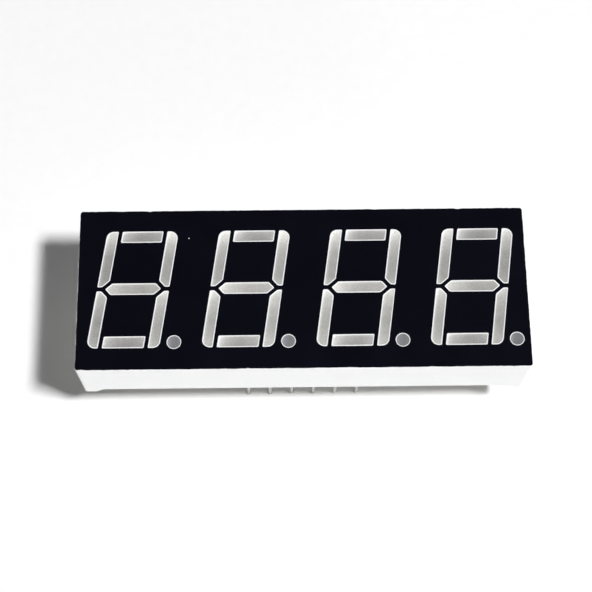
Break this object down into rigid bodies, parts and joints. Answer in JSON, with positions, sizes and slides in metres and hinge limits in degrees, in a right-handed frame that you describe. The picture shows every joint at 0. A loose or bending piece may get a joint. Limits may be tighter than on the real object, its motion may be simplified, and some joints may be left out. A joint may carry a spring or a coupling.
{
  "type": "four-digit seven-segment display",
  "caption": "Seven-segment numeric display: white reflector housing with a black printed face, leaning resin-filled digits with decimal points, and rows of solder pins below.",
  "frame": {"origin": "middle of the pin pattern, on the plane that the four feet stand on", "axes": "+X along the row of digits to the right as read, +Y towards the tops of the digits, +Z out of the printed face"},
  "size_m": [0.0506, 0.0192, 0.0143],
  "materials": {
    "white_plastic": "satin moulded",
    "black_print": "satin ink",
    "segment_resin": "milky cast resin",
    "point_resin": "milky cast resin",
    "tinned_pin": "tinned",
    "board": "laminate",
    "solder": "solder",
    "back_resin": "cast resin",
    "chip": "polished",
    "bond_wire": "bright"
  },
  "bodies": {
    "root": {"reflector_housing": "white_plastic", "front_print": "black_print", "digit_1_segment_a": "segment_resin", "digit_1_segment_b": "segment_resin", "digit_1_segment_c": "segment_resin", "digit_1_segment_d": "segment_resin", "digit_1_segment_e": "segment_resin", "digit_1_segment_f": "segment_resin", "digit_1_segment_g": "segment_resin", "digit_1_point": "point_resin", "digit_2_segment_a": "segment_resin", "digit_2_segment_b": "segment_resin", "digit_2_segment_c": "segment_resin", "digit_2_segment_d": "segment_resin", "digit_2_segment_e": "segment_resin", "digit_2_segment_f": "segment_resin", "digit_2_segment_g": "segment_resin", "digit_2_point": "point_resin", "digit_3_segment_a": "segment_resin", "digit_3_segment_b": "segment_resin", "digit_3_segment_c": "segment_resin", "digit_3_segment_d": "segment_resin", "digit_3_segment_e": "segment_resin", "digit_3_segment_f": "segment_resin", "digit_3_segment_g": "segment_resin", "digit_3_point": "point_resin", "digit_4_segment_a": "segment_resin", "digit_4_segment_b": "segment_resin", "digit_4_segment_c": "segment_resin", "digit_4_segment_d": "segment_resin", "digit_4_segment_e": "segment_resin", "digit_4_segment_f": "segment_resin", "digit_4_segment_g": "segment_resin", "digit_4_point": "point_resin", "digit_1_chips": "chip", "digit_2_chips": "chip", "digit_3_chips": "chip", "digit_4_chips": "chip", "digit_1_bond_wires": "bond_wire", "digit_2_bond_wires": "bond_wire", "digit_3_bond_wires": "bond_wire", "digit_4_bond_wires": "bond_wire", "circuit_board": "board", "solder_joints": "solder", "back_resin": "back_resin", "pin_1": "tinned_pin", "pin_2": "tinned_pin", "pin_3": "tinned_pin", "pin_4": "tinned_pin", "pin_5": "tinned_pin", "pin_6": "tinned_pin", "pin_7": "tinned_pin", "pin_8": "tinned_pin", "pin_9": "tinned_pin", "pin_10": "tinned_pin", "pin_11": "tinned_pin", "pin_12": "tinned_pin"}
  },
  "joints": []
}
